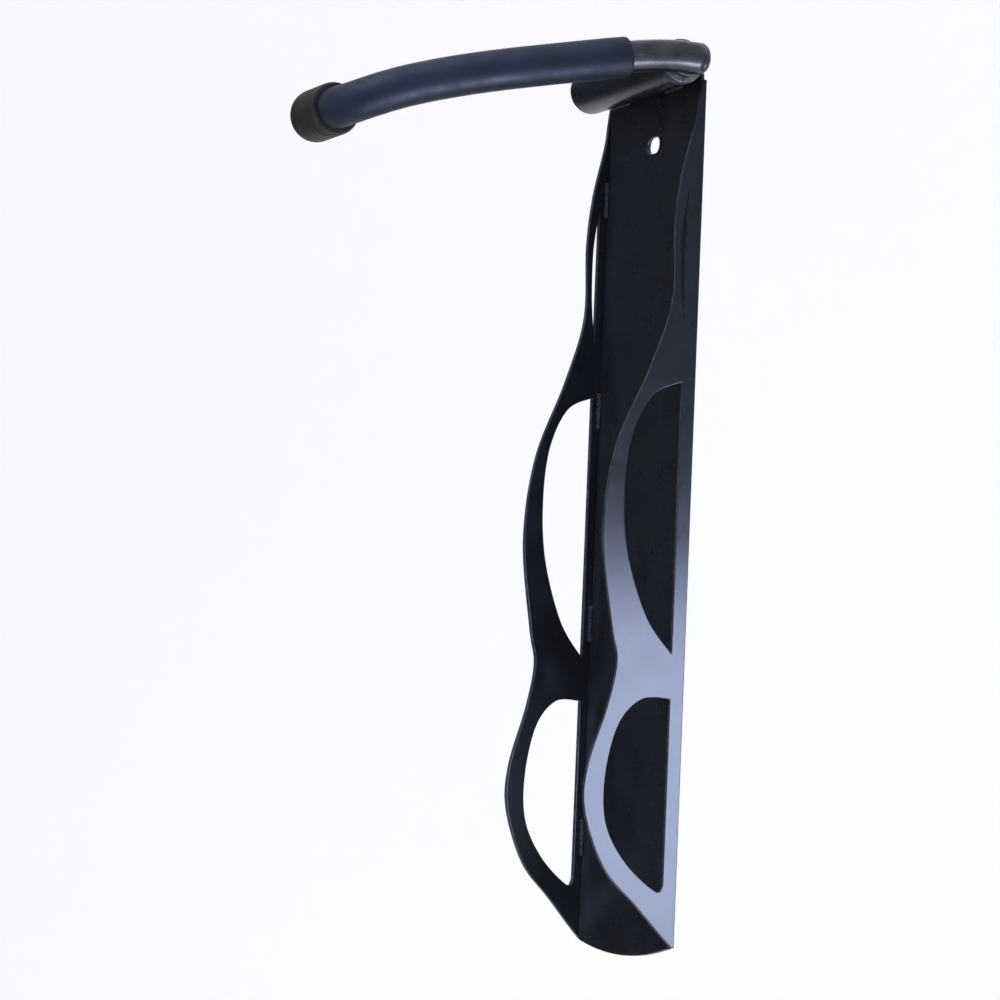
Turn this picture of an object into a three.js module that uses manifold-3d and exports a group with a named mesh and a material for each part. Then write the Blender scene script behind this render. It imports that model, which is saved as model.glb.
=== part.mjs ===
// Bicycle wall rack: a back plate with two side wings that hold the tyre, and an arm
// that swings down on a pivot along the plate's top edge to hook the front wheel's rim.
// Millimetres. The wall is the plane y = 0, the room is towards -y and +z is up.
// The origin is on the wall face of the back plate, half way up and in the middle.

import * as THREE from 'three';
import { mergeVertices } from 'three/addons/utils/BufferGeometryUtils.js';
import Module from 'manifold-3d';

const wasm = await Module();
wasm.setup();

const gap = 0.3;              // between pieces that touch

const sheet = 2.5;            // thickness of the plate and the wings
const halfWidth = 58;         // outside of the wings at the wall
const plateHalf = 54.8;       // back plate, middle to side edge
const plateTop = 240.5;
const plateCorner = -231;     // bottom corners; the bottom edge bows down between them
const plateSag = 6;
const cornerRadius = 9;
const slotLength = 15;
const slotWidth = 9;
const slotHeights = [203, -88];

const wingLean = THREE.MathUtils.degToRad(8);
const wingReach = 62;         // untrimmed distance of a wing's front from the wall
const footGap = 7.5;          // wing metal left between a window and the wall

const pivotY = -15.5;
const pivotZ = 239;
const barrelRadius = 12.4;
const boreRadius = 10.6;
const barrelNear = 57.5;      // barrel end beside the arm
const barrelFar = -55;        // barrel end under the cap
const shaftRadius = 8.2;
const shaftEnd = -48;
const grooveRadius = 6.7;
const grooveX = -44.4;
const stopX = 10;
const stopRadius = 2.5;
const stopTip = 11.9;         // from the pivot axis
const foldUp = THREE.MathUtils.degToRad(100);

const armX = 70.5;
const armTail = -12;          // the arm tube's end beside the wall
const tubeRadius = 8.5;
const tubeWall = 2;
const sleeveRadius = 10.8;
const padRadius = 14;
const crossY = -203;          // cross piece under the rim
const crossZ = 196.5;
const crossEnd = 4;
const padStart = 35;
const padEnd = -1.5;

const blackCoat = { color: 0x1d2029, roughness: 0.42, metalness: 0.25 };
const darkTube = { color: 0x4a4e57, roughness: 0.28, metalness: 0.8 };
const navyRubber = { color: 0x2c3140, roughness: 0.75, metalness: 0 };
const blackRubber = { color: 0x242528, roughness: 0.8, metalness: 0 };
const blackNylon = { color: 0x2a2a2d, roughness: 0.55, metalness: 0 };
const plainSteel = { color: 0x9a9da3, roughness: 0.35, metalness: 0.9 };
const springSteel = { color: 0x3c3f45, roughness: 0.4, metalness: 0.85 };

const rack = new THREE.Group();

function piece(name, geometry, look) {
  const mesh = new THREE.Mesh(geometry, new THREE.MeshStandardMaterial(look));
  mesh.name = name;
  rack.add(mesh);
}

// Solids for cutting and joining.

function solid(geometry) {
  const bare = geometry.clone();
  bare.deleteAttribute('normal');
  bare.deleteAttribute('uv');
  const merged = mergeVertices(bare, 1e-4);
  return new wasm.Manifold(new wasm.Mesh({
    numProp: 3,
    vertProperties: Float32Array.from(merged.attributes.position.array),
    triVerts: Uint32Array.from(merged.index.array),
  }));
}

function geometryOf(body) {
  const { vertProperties, triVerts } = body.getMesh();
  const geometry = new THREE.BufferGeometry();
  geometry.setAttribute('position', new THREE.BufferAttribute(vertProperties, 3));
  geometry.setIndex(new THREE.BufferAttribute(triVerts, 1));
  geometry.computeVertexNormals();
  return geometry;
}

function without(geometry, ...cutters) {
  return geometryOf(cutters.reduce((body, cutter) => body.subtract(solid(cutter)), solid(geometry)));
}

function common(a, b) {
  return geometryOf(solid(a).intersect(solid(b)));
}

// Outlines drawn in one plane and given a thickness.

function extrude(shape, depth, curveSegments = 12) {
  return new THREE.ExtrudeGeometry(shape, { depth, bevelEnabled: false, curveSegments });
}

// An outline in x and z, from the wall plane y = from towards the room.
function facingRoom(shape, from, depth) {
  const basis = new THREE.Matrix4().makeBasis(
    new THREE.Vector3(1, 0, 0), new THREE.Vector3(0, 0, 1), new THREE.Vector3(0, -1, 0));
  return extrude(shape, depth).applyMatrix4(basis).translate(0, from, 0);
}

// An outline in distance from the wall and z, across the whole rack.
function acrossRack(shape) {
  const reach = 2 * halfWidth;
  const basis = new THREE.Matrix4().makeBasis(
    new THREE.Vector3(0, -1, 0), new THREE.Vector3(0, 0, 1), new THREE.Vector3(-1, 0, 0));
  return extrude(shape, 2 * reach, 10).applyMatrix4(basis).translate(reach, 0, 0);
}

// A turned piece on the pivot axis: [x, radius] points from its left end to its right.
function turnedOnPivot(profile, segments = 48) {
  const points = profile.map(([x, radius]) => new THREE.Vector2(radius, x));
  return new THREE.LatheGeometry(points, segments).rotateZ(-Math.PI / 2)
    .translate(0, pivotY, pivotZ);
}

function ringOnPivot(from, to, inner, outer) {
  return turnedOnPivot([[from, inner], [from, outer], [to, outer], [to, inner], [from, inner]]);
}

// Back plate: flat sheet, rounded at the top corners and bowed along the bottom edge,
// with two slots for wall screws down the middle.

function obround(x, z, length, width) {
  const slot = new THREE.Path();
  const half = (length - width) / 2;
  slot.absarc(x + half, z, width / 2, -Math.PI / 2, Math.PI / 2, false);
  slot.absarc(x - half, z, width / 2, Math.PI / 2, 1.5 * Math.PI, false);
  slot.closePath();
  return slot;
}

function backPlate() {
  const outline = new THREE.Shape();
  outline.moveTo(-plateHalf, plateCorner);
  outline.quadraticCurveTo(0, plateCorner - 2 * plateSag, plateHalf, plateCorner);
  outline.lineTo(plateHalf, plateTop - cornerRadius);
  outline.absarc(plateHalf - cornerRadius, plateTop - cornerRadius, cornerRadius,
    0, Math.PI / 2, false);
  outline.absarc(-plateHalf + cornerRadius, plateTop - cornerRadius, cornerRadius,
    Math.PI / 2, Math.PI, false);
  outline.closePath();
  for (const z of slotHeights) outline.holes.push(obround(0, z, slotLength, slotWidth));
  return facingRoom(outline, 0, sheet);
}

// Side wings: each stands on the wall, is welded along the plate's edge and leans over the
// tyre, with a wavy front edge and three windows.
// Front edge and window edges are smooth curves through [distance from wall, height].

const frontEdge = [
  [2.2, 231], [3.4, 222], [5, 209], [11.5, 180], [14.3, 152], [14, 112], [25, 75], [42, 32],
  [47.5, -14], [41, -62], [37.3, -81], [41.5, -105], [51, -137], [51.5, -161], [40, -190],
  [22, -209], [8, -224], [1.5, -230.5],
];
const windows = [
  [[footGap, 172], [10.3, 150], [10, 122], [footGap, 100]],
  [[footGap, 68], [23, 60], [33.5, 38], [36.5, 8], [33.5, -24], [22, -57], [footGap, -76]],
  [[footGap, -100], [23, -101], [35, -115], [41, -142], [39.5, -167], [28, -187],
    [11.5, -201], [footGap, -198]],
];

function closedBehind(points, behind) {
  const shape = new THREE.Shape();
  const [first, ...rest] = points.map(([depth, z]) => new THREE.Vector2(depth, z));
  const last = rest[rest.length - 1];
  shape.moveTo(behind, first.y);
  shape.lineTo(first.x, first.y);
  shape.splineThru(rest);
  shape.lineTo(behind, last.y);
  shape.closePath();
  return shape;
}

function windowShape(points) {
  const shape = new THREE.Shape();
  const [first, ...rest] = points.map(([depth, z]) => new THREE.Vector2(depth, z));
  shape.moveTo(first.x, first.y);
  shape.splineThru(rest);
  shape.closePath();
  return shape;
}

function wing(side) {
  const drift = wingReach * Math.tan(wingLean);
  const thickness = sheet / Math.cos(wingLean);
  const section = [
    [halfWidth, 0], [halfWidth - drift, -wingReach],
    [halfWidth - drift - thickness, -wingReach], [halfWidth - thickness, 0],
  ];
  const shape = new THREE.Shape(section.map(([x, y]) => new THREE.Vector2(side * x, y)));
  const strip = extrude(shape, plateTop - plateCorner).translate(0, 0, plateCorner);
  const trimmed = common(strip, acrossRack(closedBehind(frontEdge, 0)));
  return without(trimmed, ...windows.map((points) => acrossRack(windowShape(points))));
}

// Pivot barrel: a tube welded along the top of the plate, with a slot for the stop pin.

function pivotBarrel() {
  const tube = ringOnPivot(barrelFar, barrelNear, boreRadius, barrelRadius);
  const clearance = Math.asin((stopRadius + gap) / stopTip);
  // Angles in the y-z plane: the pin points up at rest and turns towards the wall.
  const start = Math.PI / 2 + clearance;
  const end = Math.PI / 2 - foldUp - clearance;
  const slot = new THREE.Shape();
  slot.absarc(0, 0, barrelRadius + 1, start, end, true);
  slot.absarc(0, 0, boreRadius - 1, end, start, false);
  slot.closePath();
  const width = 2 * (stopRadius + gap);
  const basis = new THREE.Matrix4().makeBasis(
    new THREE.Vector3(0, 1, 0), new THREE.Vector3(0, 0, 1), new THREE.Vector3(1, 0, 0));
  const cutter = extrude(slot, width).applyMatrix4(basis)
    .translate(stopX - width / 2, pivotY, pivotZ);
  return without(tube, cutter);
}

function nearBush() {
  const flange = barrelNear + gap;
  return turnedOnPivot([
    [barrelNear - 14, shaftRadius + gap], [barrelNear - 14, boreRadius - gap],
    [flange, boreRadius - gap], [flange, barrelRadius - 0.4],
    [flange + 1.5, barrelRadius - 0.4], [flange + 1.5, shaftRadius + gap],
    [barrelNear - 14, shaftRadius + gap],
  ]);
}

function barrelCap() {
  const face = barrelFar - gap;
  const skirt = boreRadius - gap;
  return turnedOnPivot([
    [face - 3, 0], [face - 2.8, 6], [face - 2.1, 9.4], [face - 0.9, 11.6], [face, barrelRadius - 0.2],
    [face, skirt], [face + 5, skirt], [face + 5, skirt - 1.6], [face, skirt - 1.6],
    [face, 0],
  ]);
}

// Pivot shaft: a solid round welded to the side of the arm tube, with a groove for its
// retaining ring and a cross hole for the stop pin.

function upright(radius, bottom, top, x) {
  return new THREE.CylinderGeometry(radius, radius, top - bottom, 24).rotateX(Math.PI / 2)
    .translate(x, pivotY, pivotZ + (bottom + top) / 2);
}

function pivotShaft() {
  const shaft = turnedOnPivot([
    [shaftEnd, 0], [shaftEnd, shaftRadius - 1], [shaftEnd + 1, shaftRadius],
    [grooveX - 0.9, shaftRadius], [grooveX - 0.9, grooveRadius],
    [grooveX + 0.9, grooveRadius], [grooveX + 0.9, shaftRadius],
    [armX, shaftRadius], [armX, 0],
  ]);
  const armTube = new THREE.CylinderGeometry(tubeRadius + gap, tubeRadius + gap, 60, 48)
    .translate(armX, pivotY, pivotZ);
  return without(shaft, armTube, upright(stopRadius + gap, -6.5, shaftRadius + 1, stopX));
}

function retainingRing() {
  const ring = ringOnPivot(grooveX - 0.6, grooveX + 0.6, grooveRadius + gap, boreRadius - 0.5);
  const mouth = new THREE.BoxGeometry(4, 7, boreRadius + 2)
    .translate(grooveX, pivotY, pivotZ - (boreRadius + 2) / 2 - 1);
  return without(ring, mouth);
}

// Arm: a tube that leaves the pivot level, droops and closes in on the wheel, then
// turns under the rim. The points are on its centre line.

const armLine = new THREE.CatmullRomCurve3([
  [armX, armTail, pivotZ], [armX, -24, pivotZ], [armX, -36, 238], [70, -54, 235.2],
  [67.5, -90, 228.2], [62.5, -130, 220], [58.5, -158, 213], [56, -176, 207.4],
  [53.5, -187.5, 203], [48.5, -197.5, 198.8], [40.5, -202.4, 196.8], [31, crossY, crossZ],
  [16, crossY, crossZ], [crossEnd, crossY, crossZ],
].map(([x, y, z]) => new THREE.Vector3(x, y, z)), false, 'centripetal');

class Stretch extends THREE.Curve {
  constructor(line, from, to) {
    super();
    Object.assign(this, { line, from, to });
  }

  getPoint(t, target = new THREE.Vector3()) {
    return this.line.getPointAt(this.from + (this.to - this.from) * t, target);
  }
}

function tubeAlong(path, outer, inner, steps, sides) {
  const ring = new THREE.Shape().absarc(0, 0, outer, 0, 2 * Math.PI, false);
  ring.holes.push(new THREE.Path().absarc(0, 0, inner, 0, 2 * Math.PI, true));
  return new THREE.ExtrudeGeometry(ring, {
    extrudePath: path, steps, curveSegments: sides, bevelEnabled: false,
  });
}

// Share of the arm's length at which its centre line passes a given x or y.
function shareWhere(passes) {
  const steps = 2000;
  for (let i = 0; i <= steps; i++) {
    if (passes(armLine.getPointAt(i / steps))) return i / steps;
  }
  throw new Error('the arm never gets there');
}

const sleeveFrom = shareWhere((point) => point.y < -54);
const sleeveTo = shareWhere((point) => point.x < padStart + gap);

function tailPlug() {
  const end = armTail + gap;
  const profile = [
    [end - 9, 0], [end - 9, tubeRadius - tubeWall - gap], [end, tubeRadius - tubeWall - gap],
    [end, tubeRadius], [end + 2.2, tubeRadius - 0.7], [end + 4, tubeRadius - 3],
    [end + 4.8, tubeRadius - 5.7], [end + 5, 0],
  ];
  const points = profile.map(([y, radius]) => new THREE.Vector2(radius, y));
  return new THREE.LatheGeometry(points, 36).translate(armX, 0, pivotZ);
}

function tipPad() {
  const bore = tubeRadius + gap;
  const profile = [
    [padEnd, 0], [padEnd + 0.4, 5], [padEnd + 1.8, 9.5], [padEnd + 4.2, 12.3],
    [padEnd + 7.5, padRadius], [padStart - 4, padRadius], [padStart - 1.2, padRadius - 1],
    [padStart, padRadius - 3], [padStart, bore], [crossEnd - gap, bore], [crossEnd - gap, 0],
  ];
  const points = profile.map(([x, radius]) => new THREE.Vector2(radius, x));
  return new THREE.LatheGeometry(points, 36).rotateZ(-Math.PI / 2).translate(0, crossY, crossZ);
}

piece('back_plate', backPlate(), blackCoat);
piece('right_wing', wing(1), blackCoat);
piece('left_wing', wing(-1), blackCoat);
piece('pivot_barrel', pivotBarrel(), blackCoat);
piece('barrel_end_cap', barrelCap(), blackRubber);
piece('near_bush', nearBush(), blackNylon);
piece('far_bush', ringOnPivot(-42, -28, shaftRadius + gap, boreRadius - gap), blackNylon);
piece('wave_washer', ringOnPivot(59.6, 60.6, shaftRadius + gap, barrelRadius - 0.6), springSteel);
piece('pivot_shaft', pivotShaft(), plainSteel);
piece('retaining_washer', ringOnPivot(-43.5, -42.3, shaftRadius + gap, boreRadius - 0.5), plainSteel);
piece('retaining_ring', retainingRing(), springSteel);
piece('stop_pin', upright(stopRadius, -6.2, stopTip, stopX), springSteel);
piece('arm_tube', tubeAlong(armLine, tubeRadius, tubeRadius - tubeWall, 40, 9), darkTube);
piece('arm_tail_plug', tailPlug(), darkTube);
piece('arm_sleeve', tubeAlong(new Stretch(armLine, sleeveFrom, sleeveTo), sleeveRadius,
  tubeRadius + gap, 36, 9), navyRubber);
piece('tip_pad', tipPad(), blackRubber);

export default rack;
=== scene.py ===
# Bicycle wall rack: a coated back plate with two wavy wings that hold the front tyre, and a
# drooping hook arm that folds up about a barrel along the top of the plate.
# Metres; the wall is the plane y = 0, the room lies towards -y, and the arm stands at +x.

import math

import bmesh
import bpy
from mathutils import Matrix, Vector
from mathutils.geometry import tessellate_polygon


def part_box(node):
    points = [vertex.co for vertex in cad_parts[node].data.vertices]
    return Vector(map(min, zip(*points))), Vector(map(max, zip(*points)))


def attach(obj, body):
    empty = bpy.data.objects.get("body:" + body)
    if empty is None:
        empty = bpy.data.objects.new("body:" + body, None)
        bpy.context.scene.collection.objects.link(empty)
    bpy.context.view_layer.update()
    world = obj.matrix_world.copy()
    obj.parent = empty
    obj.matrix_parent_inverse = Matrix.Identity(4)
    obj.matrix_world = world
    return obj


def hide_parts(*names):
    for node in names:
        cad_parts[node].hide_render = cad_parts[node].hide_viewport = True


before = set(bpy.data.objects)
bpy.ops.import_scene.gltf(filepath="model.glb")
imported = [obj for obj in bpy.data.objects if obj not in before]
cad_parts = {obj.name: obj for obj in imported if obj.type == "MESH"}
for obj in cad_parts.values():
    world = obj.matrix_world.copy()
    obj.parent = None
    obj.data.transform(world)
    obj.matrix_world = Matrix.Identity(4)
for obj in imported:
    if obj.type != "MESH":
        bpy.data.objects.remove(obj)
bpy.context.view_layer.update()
MM = 0.001


# ---------------------------------------------------------------- back plate
# Laser-cut 2.5 mm steel sheet with rounded top corners, a bowed bottom edge and two slots
# for wall screws. Blasted, then powder coated in a near-black navy like all the sheet metal.

def linear(code):
    """An sRGB hex colour as a linear colour with alpha."""
    parts = [int(code[i:i + 2], 16) / 255 for i in (1, 3, 5)]
    return [c / 12.92 if c <= 0.04045 else ((c + 0.055) / 1.055) ** 2.4 for c in parts] + [1]


def add(tree, kind, inputs=None, **settings):
    """Adds a node with its settings; inputs maps a socket to a value or to the socket it reads."""
    node = tree.nodes.new(kind)
    for name, value in settings.items():
        setattr(node, name, value)
    for name, value in (inputs or {}).items():
        if isinstance(value, bpy.types.NodeSocket):
            tree.links.new(value, node.inputs[name])
        else:
            node.inputs[name].default_value = value
    return node


def finish_material(name, **constants):
    """A new material: its tree, its shader with constant sockets set, and object coordinates."""
    material = bpy.data.materials.new(name)
    material.use_nodes = True
    tree = material.node_tree
    tree.nodes.clear()
    shader = add(tree, "ShaderNodeBsdfPrincipled",
                 {key.replace("_", " "): value for key, value in constants.items()})
    add(tree, "ShaderNodeOutputMaterial", {"Surface": shader.outputs["BSDF"]})
    place = add(tree, "ShaderNodeTexCoord").outputs["Object"]
    return material, tree, shader, place


def blend(tree, amount, low, high):
    """A colour between two others."""
    return add(tree, "ShaderNodeMix", {0: amount, 6: low, 7: high}, data_type="RGBA").outputs[2]


def between(tree, value, low, high, to_low, to_high):
    """A value moved from one range to another and held there."""
    return add(tree, "ShaderNodeMapRange", {
        "Value": value, "From Min": low, "From Max": high, "To Min": to_low, "To Max": to_high,
    }).outputs["Result"]


def mottle(tree, place, size, detail=3.0, roughness=0.55):
    """Cloudy noise whose patches are about size metres across."""
    return add(tree, "ShaderNodeTexNoise", {
        "Vector": place, "Scale": 1 / size, "Detail": detail, "Roughness": roughness,
    }).outputs["Fac"]


# Powder coat: cured polyester powder, about 80 microns thick. It flows into a faint orange
# peel with bumps 1.4 mm across, and is rubbed thinner along cut edges. Those edges are painted
# lighter in patches: partly as that wear, partly as a painted highlight where the edges catch the
# light.
coat, tree, shader, place = finish_material(
    "powder_coated_steel", Metallic=0.0, IOR=1.5, Specular_IOR_Level=0.2,
    Specular_Tint=linear("#d4e1ff"))
peel = mottle(tree, place, 1.4 * MM, 1.0)
cloud = mottle(tree, place, 34 * MM, 4.0)
handled = mottle(tree, place, 16 * MM, 3.0, 0.5)
rim = add(tree, "ShaderNodeAttribute", attribute_name="rim").outputs["Fac"]
# Cut edges are lightened towards blue-grey: partly chipped wear, partly a painted edge highlight.
edge_chip_and_highlight_mask = between(tree, mottle(tree, place, 3.5 * MM, 4.0, 0.7), 0.5, 0.66, 0.15, 0.85)
edge_wear_and_highlight = add(tree, "ShaderNodeMath", {0: rim, 1: edge_chip_and_highlight_mask}, operation="MULTIPLY").outputs[0]
ground = blend(tree, between(tree, cloud, 0.35, 0.65, 0, 1), linear("#111318"), linear("#171a21"))
tree.links.new(blend(tree, edge_wear_and_highlight, ground, linear("#454b5a")), shader.inputs["Base Color"])
tree.links.new(between(tree, handled, 0.3, 0.7, 0.26, 0.32), shader.inputs["Roughness"])
bump = add(tree, "ShaderNodeBump", {"Height": peel, "Strength": 0.35, "Distance": 0.05 * MM})
tree.links.new(bump.outputs["Normal"], shader.inputs["Normal"])

SHEET = 2.5 * MM
RIM = 0.5 * MM                      # radius of the tumbled and coated edge


def even_line(points, step, closed=False):
    """Points along a broken line, about step apart, keeping its corners."""
    ends = points[1:] + ([points[0]] if closed else [])
    line = []
    for a, b in zip(points, ends):
        a, b = Vector(a), Vector(b)
        count = max(1, round((b - a).length / step))
        line += [a.lerp(b, i / count) for i in range(count)]
    return line + ([] if closed else [Vector(points[-1])])


def arc(centre, radius, start, end, count=12):
    """Points on an arc; the angles are in degrees."""
    turns = [math.radians(start + (end - start) * i / count) for i in range(count + 1)]
    return [(centre[0] + radius * math.cos(t), centre[1] + radius * math.sin(t)) for t in turns]


def moved_in(loop, distance, sign):
    """The loop moved sideways by distance, with its sharp corners held short."""
    moved = []
    for i, point in enumerate(loop):
        before = (point - loop[i - 1]).normalized()
        after = (loop[(i + 1) % len(loop)] - point).normalized()
        side = Vector((-before.y - after.y, before.x + after.x)) * sign
        if side.length < 1e-9:
            side = Vector((-after.y, after.x)) * sign
        side.normalize()
        share = max(0.55, side.dot(Vector((-after.y, after.x)) * sign))
        moved.append(point + side * distance / share)
    return moved


def tidy_loop(points):
    """The loop without repeated points, running anticlockwise."""
    loop = [Vector(p) for p in points]
    loop = [p for i, p in enumerate(loop) if (p - loop[i - 1]).length > 1e-6]
    area = sum(loop[i - 1].cross(p) for i, p in enumerate(loop))
    return loop if area > 0 else loop[::-1]


def cut_sheet(name, outline, holes, stand):
    """A sheet cut to an outline with holes and its edges rounded.
    stand places a point (along, up, through the sheet) in the rack."""
    bm = bmesh.new()
    loops = [(tidy_loop(outline), 1)] + [(tidy_loop(h), -1) for h in holes]
    half = SHEET / 2
    steps = [math.radians(a) for a in (0, 30, 60, 90)]
    section = [(RIM * (1 - math.sin(a)), half - RIM * (1 - math.cos(a))) for a in steps]
    section += [(inset, -w) for inset, w in reversed(section)]
    faces_of = ([], [])
    for loop, sign in loops:
        rings = []
        for inset, w in section:
            ring = moved_in(loop, inset, sign) if inset > 1e-9 else loop
            rings.append([bm.verts.new((p.x, p.y, w)) for p in ring])
        for upper, lower in zip(rings, rings[1:]):
            for i in range(len(loop)):
                quad = (upper[i - 1], upper[i], lower[i], lower[i - 1])
                bm.faces.new(quad if sign < 0 else quad[::-1]).smooth = True
        faces_of[0].append(rings[0])
        faces_of[1].append(rings[-1])
    for rings in faces_of:
        flat = [v for ring in rings for v in ring]
        for three in tessellate_polygon([[v.co for v in ring] for ring in rings]):
            bm.faces.new([flat[i] for i in three])
    rim_layer = bm.verts.layers.float.new("rim")
    for vert in bm.verts:
        vert[rim_layer] = min(1.0, (half - abs(vert.co.z)) / RIM)
        vert.co = stand(*vert.co)
    bmesh.ops.recalc_face_normals(bm, faces=bm.faces)
    mesh = bpy.data.meshes.new(name)
    bm.to_mesh(mesh)
    bm.free()
    return mesh


def fit(name, mesh, material, body, slot, *nodes):
    """Puts a finished mesh in the scene, on its body, in place of its CAD nodes."""
    mesh.name = name
    mesh.materials.clear()
    mesh.materials.append(material)
    piece = bpy.data.objects.new(name, mesh)
    bpy.context.scene.collection.objects.link(piece)
    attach(piece, body)
    if nodes:
        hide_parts(*nodes)


plate_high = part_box("back_plate")[1]
HALF_WIDTH = plate_high.x
PLATE_TOP = plate_high.z
PLATE_CORNER = -231 * MM            # the bottom corners; the edge bows lower between them
PLATE_SAG = 6 * MM
CORNER = 9 * MM
SLOT_RADIUS = 4.5 * MM
SLOT_REACH = 3 * MM                 # from a slot's middle to the centre of its round end
SLOT_HEIGHTS = (203 * MM, -88 * MM)

bow = [((2 * t - 1) * HALF_WIDTH, PLATE_CORNER - 4 * PLATE_SAG * t * (1 - t))
       for t in (i / 60 for i in range(61))]
corner_x, corner_z = HALF_WIDTH - CORNER, PLATE_TOP - CORNER
plate_outline = (bow + arc((corner_x, corner_z), CORNER, 0, 90)
                 + arc((-corner_x, corner_z), CORNER, 90, 180))
slots = [arc((SLOT_REACH, z), SLOT_RADIUS, -90, 90) + arc((-SLOT_REACH, z), SLOT_RADIUS, 90, 270)
         for z in SLOT_HEIGHTS]
plate = cut_sheet("back_plate_sheet", plate_outline, slots,
                  lambda along, up, through: Vector((along, through - SHEET / 2, up)))
fit("back_plate_sheet", plate, coat, "rack", "coated_sheet", "back_plate")


# ---------------------------------------------------------------- side wings
# Each wing is a strip of the same sheet, laser cut to a wavy front edge with three windows. It
# stands on the wall beside the plate, is welded to it, and leans 8 degrees over the tyre.

LEAN = math.radians(8)
WING_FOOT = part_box("right_wing")[1].x
WALL_CLEAR = 0.18 * MM              # under the wing's outer edge, which stands a little high

# Distance from the wall and height, in mm.
front_edge = [
    (2.2, 231), (3.4, 222), (5, 209), (11.5, 180), (14.3, 152), (14, 112), (25, 75), (42, 32),
    (47.5, -14), (41, -62), (37.3, -81), (41.5, -105), (51, -137), (51.5, -161), (40, -190),
    (22, -209), (8, -224), (1.5, -230.5),
]
windows = [
    [(7.5, 172), (10.3, 150), (10, 122), (7.5, 100)],
    [(7.5, 68), (23, 60), (33.5, 38), (36.5, 8), (33.5, -24), (22, -57), (7.5, -76)],
    [(7.5, -100), (23, -101), (35, -115), (41, -142), (39.5, -167), (28, -187), (11.5, -201),
     (7.5, -198)],
]


def smooth_line(points, count=16):
    """An even curve through the points, count steps to each span."""
    line = []
    for i in range(len(points) - 1):
        a, b = Vector(points[max(i - 1, 0)]), Vector(points[i])
        c, d = Vector(points[i + 1]), Vector(points[min(i + 2, len(points) - 1)])
        for k in range(count):
            t = k / count
            line.append((2 * b - 2 * c + (c - a) / 2 + (d - b) / 2) * t ** 3
                        + (-3 * b + 3 * c - (c - a) - (d - b) / 2) * t ** 2
                        + (c - a) / 2 * t + b)
    return line + [Vector(points[-1])]


def on_strip(point):
    """A point given by distance from the wall and height, both in mm, on the flat strip."""
    return point[0] * MM / math.cos(LEAN), point[1] * MM


def leaning(side):
    """Stands the flat strip on the wall, leaning over the trough."""
    out = Vector((math.cos(LEAN), -math.sin(LEAN)))
    foot = Vector((WING_FOOT, -WALL_CLEAR)) - out * SHEET / 2

    def stand(along, up, through):
        spot = foot + along * Vector((-math.sin(LEAN), -math.cos(LEAN))) + through * out
        return Vector((side * spot.x, spot.y, up))
    return stand


edge = [on_strip(p) for p in smooth_line(front_edge)]
wing_outline = even_line([(0, edge[-1][1]), (0, edge[0][1])], 4 * MM) + edge
wing_windows = [even_line([on_strip(p) for p in smooth_line(w)], 1.5 * MM, closed=True)
                for w in windows]
for side, name in ((1, "right_wing"), (-1, "left_wing")):
    mesh = cut_sheet(name + "_sheet", wing_outline, wing_windows, leaning(side))
    fit(name + "_sheet", mesh, coat, "rack", "coated_sheet", name)


# ---------------------------------------------------------------- pivot barrel
# A short tube with a 1.8 mm wall along the top of the plate, in the same coat. A slot at its
# top lets the stop pin travel; its two open ends carry the bushes.

def rounded(profile, radius, steps=5, closed=False):
    """A broken line of (along, radius) points with its inner corners rounded."""
    points = [Vector(p) for p in profile]
    line = []
    for i, corner in enumerate(points):
        if not closed and i in (0, len(points) - 1):
            line.append(corner)
            continue
        before, after = points[i - 1] - corner, points[(i + 1) % len(points)] - corner
        reach = min(radius, before.length * 0.45, after.length * 0.45)
        a, b = corner + before.normalized() * reach, corner + after.normalized() * reach
        for k in range(steps + 1):
            t = k / steps
            line.append(a * (1 - t) ** 2 + corner * 2 * t * (1 - t) + b * t ** 2)
    return line


def turned(name, profile, place, closed=False, sides=96):
    """A piece turned on the x axis from (along, radius) points; place moves it into the rack."""
    bm = bmesh.new()
    rings = []
    for along, radius in profile:
        if radius < 1e-7:
            rings.append([bm.verts.new((along, 0, 0))] * sides)
        else:
            rings.append([bm.verts.new((along, radius * math.cos(t), radius * math.sin(t)))
                          for t in (2 * math.pi * k / sides for k in range(sides))])
    pairs = list(zip(rings, rings[1:])) + ([(rings[-1], rings[0])] if closed else [])
    for a, b in pairs:
        for k in range(sides):
            corners = [a[k - 1], a[k], b[k], b[k - 1]]
            unique = [v for j, v in enumerate(corners) if v not in corners[:j]]
            if len(unique) > 2:
                bm.faces.new(unique).smooth = True
    bmesh.ops.recalc_face_normals(bm, faces=bm.faces)
    mesh = bpy.data.meshes.new(name)
    bm.to_mesh(mesh)
    bm.free()
    mesh.transform(place)
    mesh.update()
    return mesh


barrel_low, barrel_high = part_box("pivot_barrel")
BARREL = (barrel_high.z - barrel_low.z) / 2
BORE = 10.6 * MM
PIVOT = Vector((0, (barrel_low.y + barrel_high.y) / 2, (barrel_low.z + barrel_high.z) / 2))
ON_PIVOT = Matrix.Translation(PIVOT)

tube = [(barrel_low.x, BORE), (barrel_low.x, BARREL), (barrel_high.x, BARREL),
        (barrel_high.x, BORE)]
barrel = turned("pivot_barrel_tube", rounded(tube, 0.6 * MM, closed=True), ON_PIVOT, closed=True)

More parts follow.
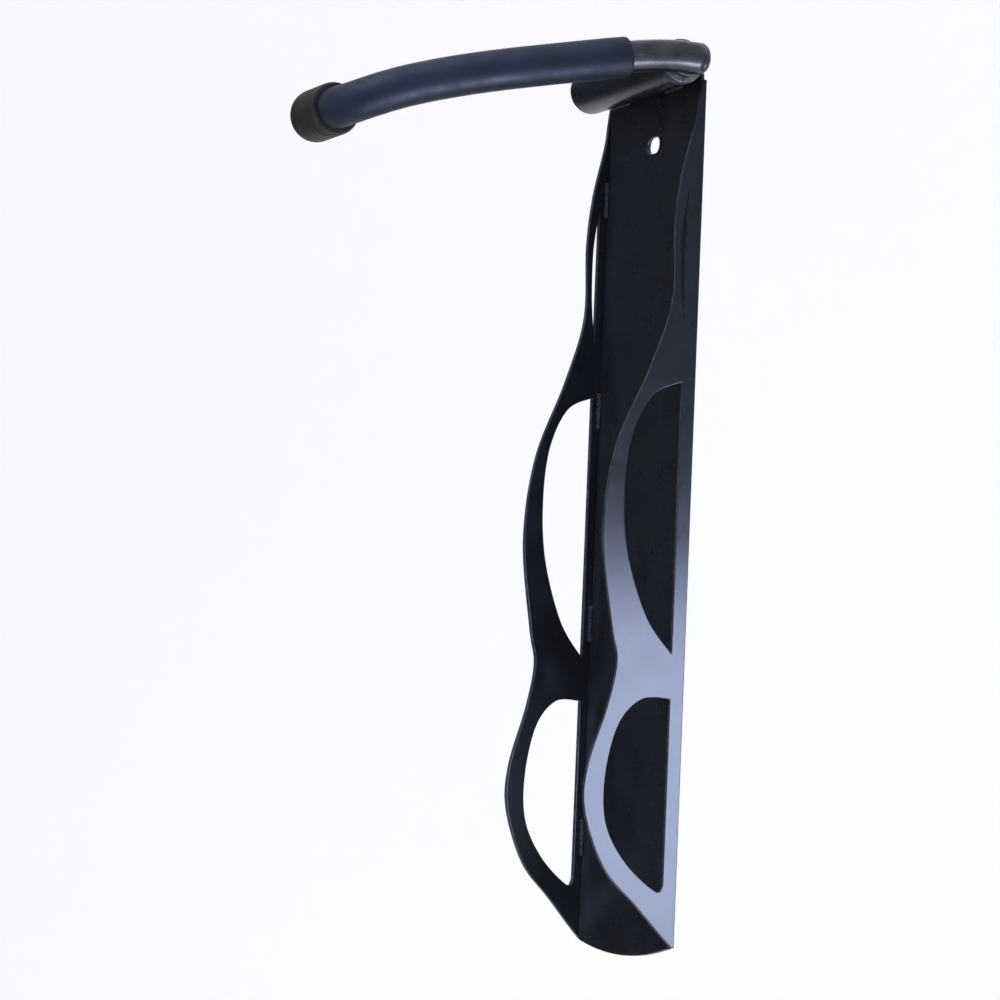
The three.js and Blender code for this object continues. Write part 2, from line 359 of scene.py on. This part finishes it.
# The slot runs from just before the pin at rest to just past the pin folded up.
STOP_X = 10 * MM
SLOT_HALF = 2.8 * MM
CUT_FROM, CUT_TO = BORE - 1 * MM, BARREL + 1 * MM
FOLD_UP = 100
PIN_ROOM = 13.6                     # degrees past the middle of the pin
bm = bmesh.new()
turns = [math.radians(90 + PIN_ROOM - (FOLD_UP + 2 * PIN_ROOM) * k / 24) for k in range(25)]
sections = [[bm.verts.new((STOP_X + x, PIVOT.y + r * math.cos(t), PIVOT.z + r * math.sin(t)))
             for x, r in ((-SLOT_HALF, CUT_FROM), (SLOT_HALF, CUT_FROM),
                          (SLOT_HALF, CUT_TO), (-SLOT_HALF, CUT_TO))] for t in turns]
for a, b in zip(sections, sections[1:]):
    for k in range(4):
        bm.faces.new((a[k - 1], a[k], b[k], b[k - 1]))
bm.faces.new(sections[0])
bm.faces.new(sections[-1][::-1])
bmesh.ops.recalc_face_normals(bm, faces=bm.faces)
cutter_mesh = bpy.data.meshes.new("slot_cutter")
bm.to_mesh(cutter_mesh)
bm.free()
cutter = bpy.data.objects.new("slot_cutter", cutter_mesh)
blank = bpy.data.objects.new("barrel_blank", barrel)
for thing in (cutter, blank):
    bpy.context.scene.collection.objects.link(thing)
cut = blank.modifiers.new("slot", "BOOLEAN")
cut.operation, cut.solver, cut.object = "DIFFERENCE", "EXACT", cutter
bpy.context.view_layer.update()
barrel = bpy.data.meshes.new_from_object(
    blank.evaluated_get(bpy.context.evaluated_depsgraph_get()))
for thing in (cutter, blank):
    bpy.data.objects.remove(thing)
barrel.set_sharp_from_angle(angle=math.radians(40))
fit("pivot_barrel_tube", barrel, coat, "rack", "coated_sheet", "pivot_barrel")


# ---------------------------------------------------------------- stitch welds
# Short fillet welds join the barrel to the plate from below, and the wings to the plate in the
# two inner corners. Each is a row of overlapping ripples, laid by hand, no two quite alike.

def new_tree(name, **inputs):
    """A geometry tree with named inputs for its sizes, and its group input node."""
    tree = bpy.data.node_groups.new(name, "GeometryNodeTree")
    tree.interface.new_socket("Geometry", in_out="INPUT", socket_type="NodeSocketGeometry")
    tree.interface.new_socket("Geometry", in_out="OUTPUT", socket_type="NodeSocketGeometry")
    for key, kind in inputs.items():
        tree.interface.new_socket(key.replace("_", " "), in_out="INPUT",
                                  socket_type="NodeSocket" + kind)
    return tree, add(tree, "NodeGroupInput").outputs


def end_tree(tree, geometry, material):
    """Realises what the tree made, gives it its material and sends it out."""
    real = add(tree, "GeometryNodeRealizeInstances", {"Geometry": geometry}).outputs[0]
    painted = add(tree, "GeometryNodeSetMaterial", {"Geometry": real, "Material": material})
    add(tree, "NodeGroupOutput", {"Geometry": painted.outputs[0]})


def grown(name, tree, values, start=None, finish=()):
    """Runs a geometry tree on a start mesh and returns the plain mesh it makes."""
    host = bpy.data.objects.new(name, start or bpy.data.meshes.new(name + "_start"))
    bpy.context.scene.collection.objects.link(host)
    modifier = host.modifiers.new(name, "NODES")
    modifier.node_group = tree
    sockets = {item.name: item.identifier for item in tree.interface.items_tree
               if item.in_out == "INPUT"}
    for key, value in values.items():
        modifier[sockets[key]] = value
    for kind, settings in finish:
        extra = host.modifiers.new(kind.lower(), kind)
        for key, value in settings.items():
            setattr(extra, key, value)
    bpy.context.view_layer.update()
    seen = host.evaluated_get(bpy.context.evaluated_depsgraph_get())
    mesh = bpy.data.meshes.new_from_object(seen)
    host.modifiers.clear()
    bpy.data.objects.remove(host)
    return mesh


RIPPLE_TILT = math.radians(14)
tree, given = new_tree("weld_stitches", Ripples="Int", Ripple_Pitch="Float", Bead="Float",
                       Welds="Int", Weld_Pitch="Float", Seed="Int", Material="Material")
step = add(tree, "ShaderNodeCombineXYZ", {"X": given["Ripple Pitch"]}).outputs[0]
row = add(tree, "GeometryNodeMeshLine", {"Count": given["Ripples"], "Offset": step}).outputs[0]
stride = add(tree, "ShaderNodeCombineXYZ", {"X": given["Weld Pitch"]}).outputs[0]
starts = add(tree, "GeometryNodeMeshLine",
             {"Count": given["Welds"], "Offset": stride}).outputs[0]
rows = add(tree, "GeometryNodeInstanceOnPoints", {"Points": starts, "Instance": row}).outputs[0]
centres = add(tree, "GeometryNodeRealizeInstances", {"Geometry": rows}).outputs[0]
ripple = add(tree, "GeometryNodeMeshUVSphere",
             {"Segments": 12, "Rings": 8, "Radius": given["Bead"]}).outputs[0]
size = add(tree, "FunctionNodeRandomValue", {"Min": (0.42, 0.86, 0.86), "Max": (0.56, 1.1, 1.1),
                                             "Seed": given["Seed"]},
           data_type="FLOAT_VECTOR").outputs[0]
ripples = add(tree, "GeometryNodeInstanceOnPoints",
              {"Points": centres, "Instance": ripple, "Scale": size,
               "Rotation": (0, RIPPLE_TILT, 0)}).outputs[0]
soft_ripples = add(tree, "GeometryNodeSetShadeSmooth", {"Geometry": ripples}).outputs[0]
end_tree(tree, soft_ripples, given["Material"])

RIPPLES = 17
RIPPLE_PITCH = 1.15 * MM
HALF_WELD = RIPPLE_PITCH * (RIPPLES - 1) / 2

FIRST_BARREL_WELD = -38 * MM
BARREL_WELD_AT = (FIRST_BARREL_WELD - HALF_WELD, -SHEET - 1.4 * MM, PIVOT.z - 8 * MM)
barrel_welds = grown("barrel_welds", tree, {
    "Ripples": RIPPLES, "Ripple Pitch": RIPPLE_PITCH, "Bead": 2.4 * MM, "Welds": 2,
    "Weld Pitch": 65 * MM, "Seed": 1, "Material": coat})
barrel_welds.transform(Matrix.Translation(BARREL_WELD_AT))
fit("barrel_welds", barrel_welds, coat, "rack", "coated_sheet")

LOWEST_CORNER_WELD = -175 * MM
INSET = 0.5 * MM                    # of a bead's middle from the faces it joins
UPWARDS = Matrix.Rotation(-math.pi / 2, 4, "Y")
for side, name in ((1, "right"), (-1, "left")):
    corner_welds = grown(name + "_corner_welds", tree, {
        "Ripples": RIPPLES, "Ripple Pitch": RIPPLE_PITCH, "Bead": 2.1 * MM, "Welds": 4,
        "Weld Pitch": 118 * MM, "Seed": 2 + side, "Material": coat})
    corner = (side * (HALF_WIDTH - INSET), -SHEET - INSET, LOWEST_CORNER_WELD - HALF_WELD)
    corner_welds.transform(Matrix.Translation(corner) @ UPWARDS)
    fit(name + "_corner_welds", corner_welds, coat, "rack", "coated_sheet")


# ---------------------------------------------------------------- barrel end cap
# A moulded black nylon cap pressed into the far end of the barrel, with a low crowned face
# and a fine spark-eroded grain.

cap_plastic, tree, shader, place = finish_material(
    "moulded_black_nylon", Metallic=0.0, IOR=1.53, Specular_IOR_Level=0.35)
grain = mottle(tree, place, 0.7 * MM, 2.0)
tree.links.new(blend(tree, between(tree, mottle(tree, place, 9 * MM), 0.35, 0.65, 0, 1),
                     linear("#17181b"), linear("#1f2125")), shader.inputs["Base Color"])
tree.links.new(between(tree, grain, 0.3, 0.7, 0.42, 0.56), shader.inputs["Roughness"])
bump = add(tree, "ShaderNodeBump", {"Height": grain, "Strength": 0.5, "Distance": 0.06 * MM})
tree.links.new(bump.outputs["Normal"], shader.inputs["Normal"])

GAP = 0.3 * MM
CAP_WALL = 1.6 * MM
cap_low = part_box("barrel_end_cap")[0]
face = barrel_low.x - GAP
skirt, skirt_end = BORE - GAP, face + 5 * MM
rim_of_cap = BARREL - 0.2 * MM
crown = [(cap_low.x + (1 - math.cos(t)) * (face - cap_low.x) * 0.8,
          (BARREL - 1.5 * MM) * math.sin(t))
         for t in (math.radians(6 * k) for k in range(15))]
cap_profile = [(cap_low.x, 0)] + crown[1:] + rounded(
    [crown[-1], (face - 0.7 * MM, rim_of_cap), (face, rim_of_cap), (face, skirt),
     (skirt_end, skirt), (skirt_end, skirt - CAP_WALL), (face, skirt - CAP_WALL), (face, 0)],
    0.35 * MM)
fit("barrel_cap", turned("barrel_cap", cap_profile, ON_PIVOT), cap_plastic, "rack",
    "black_rubber", "barrel_end_cap")


# ---------------------------------------------------------------- bushes and small steel
# What the arm turns on: black nylon bushes, a zinc-plated shaft with its washer, and spring
# steel for the wave washer, the retaining ring and the stop pin.

nylon, tree, shader, place = finish_material(
    "turned_black_nylon", Metallic=0.0, IOR=1.53, Specular_IOR_Level=0.35, Roughness=0.5)
tree.links.new(blend(tree, between(tree, mottle(tree, place, 5 * MM), 0.35, 0.65, 0, 1),
                     linear("#232427"), linear("#2c2d31")), shader.inputs["Base Color"])
lathe_marks = add(tree, "ShaderNodeTexWave", {"Vector": place, "Scale": 1 / (2.2 * MM) / 20,
                                              "Distortion": 0.4},
                  bands_direction="X").outputs["Fac"]
bump = add(tree, "ShaderNodeBump",
           {"Height": lathe_marks, "Strength": 0.3, "Distance": 0.03 * MM})
tree.links.new(bump.outputs["Normal"], shader.inputs["Normal"])

zinc, tree, shader, place = finish_material("zinc_plated_steel", Metallic=1.0)
spangle = add(tree, "ShaderNodeTexVoronoi", {"Vector": place, "Scale": 1 / (2.5 * MM)})
tree.links.new(blend(tree, spangle.outputs["Distance"], linear("#7c7f84"), linear("#63676e")),
               shader.inputs["Base Color"])
tree.links.new(between(tree, mottle(tree, place, 2 * MM), 0.3, 0.7, 0.26, 0.42),
               shader.inputs["Roughness"])

spring_steel, tree, shader, place = finish_material("blued_spring_steel", Metallic=1.0)
tree.links.new(blend(tree, between(tree, mottle(tree, place, 3 * MM), 0.35, 0.65, 0, 1),
                     linear("#4d535e"), linear("#6b6f78")), shader.inputs["Base Color"])
tree.links.new(between(tree, mottle(tree, place, 1 * MM), 0.3, 0.7, 0.24, 0.4),
               shader.inputs["Roughness"])

finishes = {
    "near_bush": nylon, "far_bush": nylon, "pivot_shaft": zinc, "retaining_washer": zinc,
    "retaining_ring": spring_steel, "stop_pin": spring_steel,
}
for node, material in finishes.items():
    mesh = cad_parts[node].data
    mesh.materials.clear()
    mesh.materials.append(material)

# The wave washer is a thin ring bent into three waves, which keeps the arm from rattling.
wave_low, wave_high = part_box("wave_washer")
WAVE = 0.28 * MM
WASHER_HALF = 0.18 * MM
WASHER_BORE, WASHER_EDGE = 8.6 * MM, 11.7 * MM
ring = [(-WASHER_HALF, WASHER_BORE), (-WASHER_HALF, WASHER_EDGE), (WASHER_HALF, WASHER_EDGE),
        (WASHER_HALF, WASHER_BORE)]
washer = turned("wave_ring", rounded(ring, 0.1 * MM, 3, closed=True), Matrix(), closed=True)
for vert in washer.vertices:
    vert.co.x += WAVE * math.sin(3 * math.atan2(vert.co.z, vert.co.y))
washer.transform(Matrix.Translation((((wave_low + wave_high) / 2).x, PIVOT.y, PIVOT.z)))
fit("wave_ring", washer, spring_steel, "rack", "spring_steel", "wave_washer")


# ---------------------------------------------------------------- arm tube
# A 17 mm steel tube, bent cold, that leaves the pivot level, droops and closes in on the wheel
# and turns under the rim. It is finished in black nickel, polished along its length.

ARM_X = 70.5 * MM
TUBE = 8.5 * MM
WALL = 2 * MM                       # of the tube and of the sleeve over it
CROSS = Vector((0, -203 * MM, 196.5 * MM))
arm_points = [
    (70.5, -12, 239), (70.5, -24, 239), (70.5, -36, 238), (70, -54, 235.2), (67.5, -90, 228.2),
    (62.5, -130, 220), (58.5, -158, 213), (56, -176, 207.4), (53.5, -187.5, 203),
    (48.5, -197.5, 198.8), (40.5, -202.4, 196.8), (31, -203, 196.5), (16, -203, 196.5),
    (4, -203, 196.5),
]


def bent_line(points, count):
    """A curve through points in space that never loops or overshoots between them."""
    points = [Vector(p) * MM for p in points]
    points = [2 * points[0] - points[1]] + points + [2 * points[-1] - points[-2]]
    line = []
    for a, b, c, d in zip(points, points[1:], points[2:], points[3:]):
        ab, bc, cd = ((q - p).length ** 0.5 for p, q in ((a, b), (b, c), (c, d)))
        leave = ((b - a) / ab - (c - a) / (ab + bc) + (c - b) / bc) * bc
        arrive = ((c - b) / bc - (d - b) / (bc + cd) + (d - c) / cd) * bc
        for k in range(count):
            t = k / count
            line.append((2 * b - 2 * c + leave + arrive) * t ** 3
                        + (-3 * b + 3 * c - 2 * leave - arrive) * t ** 2 + leave * t + b)
    return line + [points[-2]]


def wire(name, points):
    """A mesh of edges along the points, for a tree to sweep."""
    mesh = bpy.data.meshes.new(name)
    mesh.from_pydata([tuple(p) for p in points], [(i, i + 1) for i in range(len(points) - 1)], [])
    return mesh


tree, given = new_tree("tube_along_line", Radius="Float", Sides="Int", Step="Float",
                       Material="Material")
line = add(tree, "GeometryNodeMeshToCurve", {"Mesh": given["Geometry"]}).outputs[0]
even = add(tree, "GeometryNodeResampleCurve", {"Curve": line, "Length": given["Step"]},
           mode="LENGTH").outputs[0]
section = add(tree, "GeometryNodeCurvePrimitiveCircle",
              {"Resolution": given["Sides"], "Radius": given["Radius"]}).outputs["Curve"]
swept = add(tree, "GeometryNodeCurveToMesh",
            {"Curve": even, "Profile Curve": section}).outputs[0]
soft_tube = add(tree, "GeometryNodeSetShadeSmooth", {"Geometry": swept}).outputs[0]
end_tree(tree, soft_tube, given["Material"])

black_nickel, tree, shader, place = finish_material("black_nickel_plate", Metallic=1.0)
along_tube = add(tree, "ShaderNodeMapping", {"Vector": place, "Scale": (1, 0.05, 1)}).outputs[0]
strokes = mottle(tree, along_tube, 0.5 * MM, 2.0)
smear = mottle(tree, place, 8 * MM, 4.0, 0.6)
tree.links.new(blend(tree, between(tree, smear, 0.35, 0.65, 0, 1),
                     linear("#404248"), linear("#33353b")), shader.inputs["Base Color"])
tree.links.new(between(tree, strokes, 0.3, 0.7, 0.24, 0.36), shader.inputs["Roughness"])
bump = add(tree, "ShaderNodeBump", {"Height": strokes, "Strength": 0.2, "Distance": 0.02 * MM})
tree.links.new(bump.outputs["Normal"], shader.inputs["Normal"])

arm_line = bent_line(arm_points, 24)
inward_wall = ("SOLIDIFY", {"thickness": WALL, "offset": -1.0, "use_even_offset": True})
tube = grown("arm_tube_swept", bpy.data.node_groups["tube_along_line"], {
    "Radius": TUBE, "Sides": 64, "Step": 2.2 * MM, "Material": black_nickel},
    wire("arm_tube_line", arm_line), [inward_wall])
fit("arm_tube_swept", tube, black_nickel, "arm", "dark_tube", "arm_tube")


# ---------------------------------------------------------------- arm tail plug
# A pressed and polished plug that closes the tube's end beside the wall with a round nose.

plug_low, plug_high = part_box("arm_tail_plug")
ON_TAIL = Matrix.Translation((ARM_X, 0, PIVOT.z)) @ Matrix.Rotation(math.pi / 2, 4, "Z")
NOSE = plug_high.y
SHOULDER = -11.7 * MM
nose = [(SHOULDER + (NOSE - SHOULDER) * math.sin(t), TUBE * math.cos(t) ** 0.72)
        for t in (math.radians(5 * k) for k in range(18))]
stem = TUBE - 2.4 * MM
plug_profile = [(plug_low.y, 0), (plug_low.y, stem - 0.5 * MM), (plug_low.y + 0.5 * MM, stem),
                (SHOULDER, stem)] + nose + [(NOSE, 0)]
fit("arm_nose", turned("arm_nose", plug_profile, ON_TAIL), black_nickel, "arm", "dark_tube",
    "arm_tail_plug")


# ---------------------------------------------------------------- arm weld
# The shaft's end is coped to the tube and welded all round in one ripple bead, which is
# plated with the arm.

tree, given = new_tree("weld_round", Count="Int", Radius="Float", Bead="Float", Seed="Int",
                       Material="Material")
circle = add(tree, "GeometryNodeMeshCircle",
             {"Vertices": given["Count"], "Radius": given["Radius"]}).outputs[0]
ripple = add(tree, "GeometryNodeMeshUVSphere",
             {"Segments": 12, "Rings": 8, "Radius": given["Bead"]}).outputs[0]
size = add(tree, "FunctionNodeRandomValue",
           {"Min": (0.85, 0.85, 0.85), "Max": (1.08, 1.08, 1.08), "Seed": given["Seed"]},
           data_type="FLOAT_VECTOR").outputs[0]
ripples = add(tree, "GeometryNodeInstanceOnPoints",
              {"Points": circle, "Instance": ripple, "Scale": size}).outputs[0]
soft_ripples = add(tree, "GeometryNodeSetShadeSmooth", {"Geometry": ripples}).outputs[0]
end_tree(tree, soft_ripples, given["Material"])
mesh = grown("arm_weld", tree, {"Count": 44, "Radius": 8.2 * MM, "Bead": 0.85 * MM, "Seed": 5,
                                "Material": black_nickel})
WELD_X = 61.9 * MM
SADDLE_EDGE = 7 * MM                # beyond it the bead no longer follows the tube
mesh.transform(Matrix.Translation((WELD_X, PIVOT.y, PIVOT.z))
               @ Matrix.Rotation(math.pi / 2, 4, "Y"))
for vert in mesh.vertices:          # the bead follows the saddle where the round meets the tube
    across = min(abs(vert.co.z - PIVOT.z), SADDLE_EDGE)
    vert.co.x += TUBE - math.sqrt(TUBE ** 2 - across ** 2)
fit("arm_weld", mesh, black_nickel, "arm", "dark_tube")


# ---------------------------------------------------------------- arm sleeve
# A soft navy rubber sleeve, 2 mm thick, pushed over the tube so that the rim isn't scratched.
# Its skin has a fine leather grain from the mould, rubbed smoother where wheels pass.

sleeve_rubber, tree, shader, place = finish_material(
    "navy_rubber", Metallic=0.0, IOR=1.52, Specular_IOR_Level=0.16,
    Specular_Tint=linear("#cfdcff"))
cells = add(tree, "ShaderNodeTexVoronoi", {"Vector": place, "Scale": 1 / (1.1 * MM)},
            feature="SMOOTH_F1").outputs["Distance"]
patches = mottle(tree, place, 24 * MM, 4.0)
tree.links.new(blend(tree, between(tree, patches, 0.36, 0.64, 0, 1),
                     linear("#121624"), linear("#191f30")), shader.inputs["Base Color"])
tree.links.new(between(tree, mottle(tree, place, 7 * MM, 4.0), 0.32, 0.68, 0.42, 0.6),
               shader.inputs["Roughness"])
bump = add(tree, "ShaderNodeBump", {"Height": cells, "Strength": 0.35, "Distance": 0.1 * MM})
tree.links.new(bump.outputs["Normal"], shader.inputs["Normal"])

SLEEVE = 10.8 * MM
SLEEVE_START = -54 * MM             # in y, beside the wall
SLEEVE_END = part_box("tip_pad")[1].x + GAP
sleeve_line = [p for p in arm_line if p.y < SLEEVE_START and p.x >= SLEEVE_END]
sleeve = grown("arm_sleeve_skin", bpy.data.node_groups["tube_along_line"], {
    "Radius": SLEEVE, "Sides": 72, "Step": 2 * MM, "Material": sleeve_rubber},
    wire("sleeve_line", sleeve_line),
    [inward_wall, ("BEVEL", {"width": 0.9 * MM, "segments": 4, "limit_method": "ANGLE",
                             "angle_limit": math.radians(50)})])
fit("arm_sleeve_skin", sleeve, sleeve_rubber, "arm", "navy_sleeve", "arm_sleeve")


# ---------------------------------------------------------------- tip pad
# A thick black rubber pad moulded over the cross piece, closed and domed at its free end, with
# a rolled lip where the rim rests. The rubber is matt with a slight bloom.

pad_rubber, tree, shader, place = finish_material(
    "black_rubber", Metallic=0.0, IOR=1.52, Specular_IOR_Level=0.16)
bloom = between(tree, mottle(tree, place, 12 * MM, 5.0, 0.6), 0.42, 0.68, 0, 1)
tree.links.new(blend(tree, bloom, linear("#141516"), linear("#1f2022")),
               shader.inputs["Base Color"])
tree.links.new(between(tree, mottle(tree, place, 4 * MM), 0.3, 0.7, 0.5, 0.68),
               shader.inputs["Roughness"])
stipple = mottle(tree, place, 0.8 * MM, 2.0)
bump = add(tree, "ShaderNodeBump", {"Height": stipple, "Strength": 0.45, "Distance": 0.08 * MM})
tree.links.new(bump.outputs["Normal"], shader.inputs["Normal"])

pad_low, pad_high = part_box("tip_pad")
PAD = (pad_high.z - pad_low.z) / 2
DOME = 9 * MM
dome = [(pad_low.x + DOME * (1 - math.cos(t)), PAD * math.sin(t) ** 0.8)
        for t in (math.radians(5 * k) for k in range(1, 19))]
PAD_BORE = TUBE + GAP
TUBE_END = 3.7 * MM
lip = rounded([dome[-1], (pad_high.x - 6 * MM, PAD), (pad_high.x - 5 * MM, PAD - 0.9 * MM),
               (pad_high.x - 4 * MM, PAD), (pad_high.x, PAD), (pad_high.x, PAD_BORE),
               (TUBE_END, PAD_BORE), (TUBE_END, 0)], 1.6 * MM, 6)
pad = turned("tip_pad_rubber", [(pad_low.x, 0)] + dome + lip[1:], Matrix.Translation(CROSS))
fit("tip_pad_rubber", pad, pad_rubber, "arm", "black_rubber", "tip_pad")


# ---------------------------------------------------------------- studio
# A white seamless floor that curves up all round, a large soft light above, a low side panel
# whose reflection runs along the near wing, and a black card that keeps the plate dark.

studio, tree, shader, place = finish_material("studio_paper", Metallic=0.0, Roughness=0.9,
                                              Specular_IOR_Level=0.1)
tree.links.new(blend(tree, mottle(tree, place, 2.0), linear("#f6f6f7"), linear("#fafafa")),
               shader.inputs["Base Color"])
FLOOR = -0.75
FLAT, BEND = 4, 2                   # radius of the flat floor and of the sweep around it
SEGMENTS = 96
sweep = [(radius, 0) for radius in range(1, FLAT + 1)] + [
    (FLAT + BEND * math.sin(t), BEND - BEND * math.cos(t)) for t in
    (math.radians(6 * k) for k in range(1, 16))] + [(FLAT + BEND, 3.2)]
bm = bmesh.new()
rings = [[bm.verts.new((0, 0, FLOOR))] * SEGMENTS]
for radius, height in sweep:
    rings.append([bm.verts.new((radius * math.cos(t), radius * math.sin(t), FLOOR + height))
                  for t in (2 * math.pi * k / SEGMENTS for k in range(SEGMENTS))])
for a, b in zip(rings, rings[1:]):
    for k in range(SEGMENTS):
        corners = [a[k - 1], b[k - 1], b[k], a[k]]
        unique = [v for j, v in enumerate(corners) if v not in corners[:j]]
        bm.faces.new(unique).smooth = True
paper = bpy.data.meshes.new("studio_floor")
bm.to_mesh(paper)
bm.free()
paper.materials.append(studio)
floor = bpy.data.objects.new("studio_floor", paper)
bpy.context.scene.collection.objects.link(floor)


def lamp(name, at, towards, width, height, watts, colour):
    """A soft rectangular light that isn't itself in view."""
    light = bpy.data.lights.new(name, "AREA")
    light.shape, light.size, light.size_y = "RECTANGLE", width, height
    light.energy, light.color = watts, linear(colour)[:3]
    item = bpy.data.objects.new(name, light)
    item.location = at
    item.rotation_mode = "QUATERNION"
    item.rotation_quaternion = (Vector(towards) - Vector(at)).to_track_quat("-Z", "Y")
    item.visible_camera = False
    bpy.context.scene.collection.objects.link(item)
    return item


side_panel = lamp("side_panel", (0.3, 0.02, -0.155), (0, -0.03, -0.155), 0.28, 0.26, 8.6,
                  "#f2f4ff")
side_panel.visible_diffuse = False   # it only draws the sheen
lamp("overhead", (0.5, -0.9, 1.6), (0, -0.1, 0), 1.4, 1.4, 36, "#ffffff")
lamp("front_fill", (-1.3, -1.3, 0.5), (0, 0, 0), 0.8, 0.8, 5, "#ffffff")

card_corners = [(-1.1, -1.9, -0.7), (-1.7, -0.15, -0.7), (-1.7, -0.15, 1.3), (-1.1, -1.9, 1.3)]
card = bpy.data.meshes.new("black_card")
card.from_pydata(card_corners, [], [(0, 1, 2, 3)])
felt, tree, shader, place = finish_material("black_felt", Metallic=0.0, Roughness=1.0,
                                            Specular_IOR_Level=0.0)
tree.links.new(blend(tree, mottle(tree, place, 0.05), linear("#18181a"), linear("#222225")),
               shader.inputs["Base Color"])
card.materials.append(felt)
black_card = bpy.data.objects.new("black_card", card)
black_card.visible_camera = False
bpy.context.scene.collection.objects.link(black_card)

world = bpy.data.worlds.new("studio_air")
world.use_nodes = True
background = world.node_tree.nodes["Background"]
background.inputs["Color"].default_value = linear("#f8fafd")
background.inputs["Strength"].default_value = 1.12
bpy.context.scene.world = world
bpy.context.scene.view_settings.view_transform = "Standard"

# The camera stands 2.2 m away, on the arm's side and level with the lower windows.
CAMERA_AT = Vector((1.97223, -0.96316, -0.16254))
LOOKED_AT = Vector((0, -0.085, 0.003))
ROLL = Matrix.Rotation(math.radians(2.4), 4, "Z")
camera = bpy.data.cameras.new("camera")
camera.lens, camera.sensor_width = 146, 36
camera.clip_end = 50
viewer = bpy.data.objects.new("camera", camera)
viewer.location = CAMERA_AT
aim = (LOOKED_AT - CAMERA_AT).to_track_quat("-Z", "Y")
viewer.rotation_mode = "QUATERNION"
viewer.rotation_quaternion = aim @ ROLL.to_quaternion()
bpy.context.scene.collection.objects.link(viewer)
bpy.context.scene.camera = viewer
